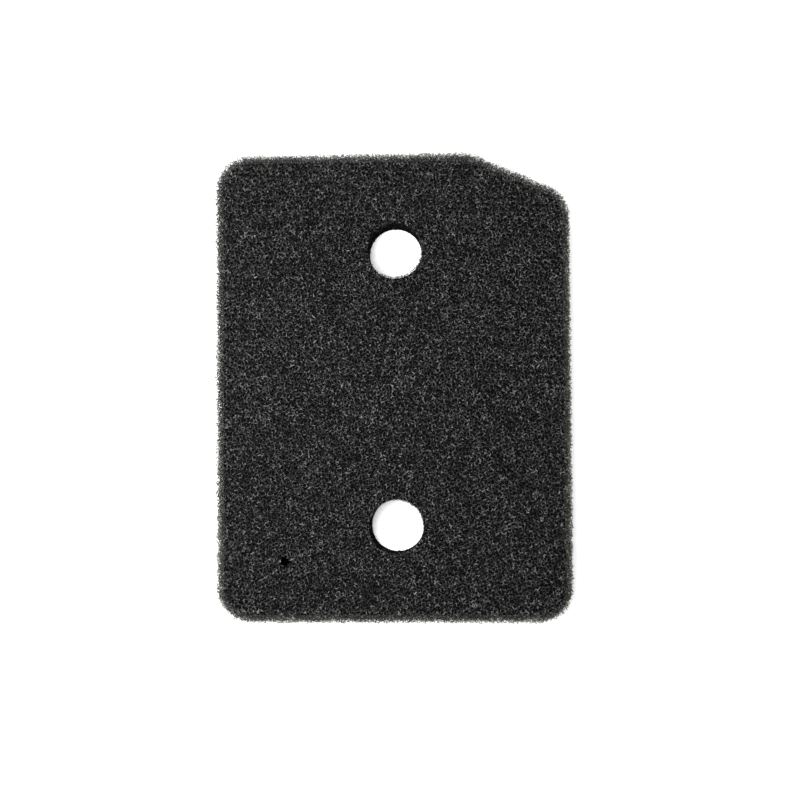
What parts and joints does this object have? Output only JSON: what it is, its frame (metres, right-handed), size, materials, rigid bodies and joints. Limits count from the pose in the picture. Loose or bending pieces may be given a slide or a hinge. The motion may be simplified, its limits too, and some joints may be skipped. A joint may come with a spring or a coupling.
{
  "type": "foam filter pad",
  "caption": "Flat rectangular open-cell foam air filter pad with rounded corners, one long shallow clipped corner and round locating holes on its long centreline.",
  "frame": {"origin": "middle of the bounding box of the back face, the face that the pad lies on", "axes": "+Z through the thickness, from the back face to the front face; +Y along the long side; the clipped corner is at +X +Y"},
  "size_m": [0.157, 0.207, 0.01],
  "materials": {
    "foam": "charcoal black open-cell polyurethane foam, a net of fine struts round dark pores, with small glints and a fuzzy cut rim"
  },
  "bodies": {
    "root": {"foam_pad": "foam"}
  },
  "joints": []
}
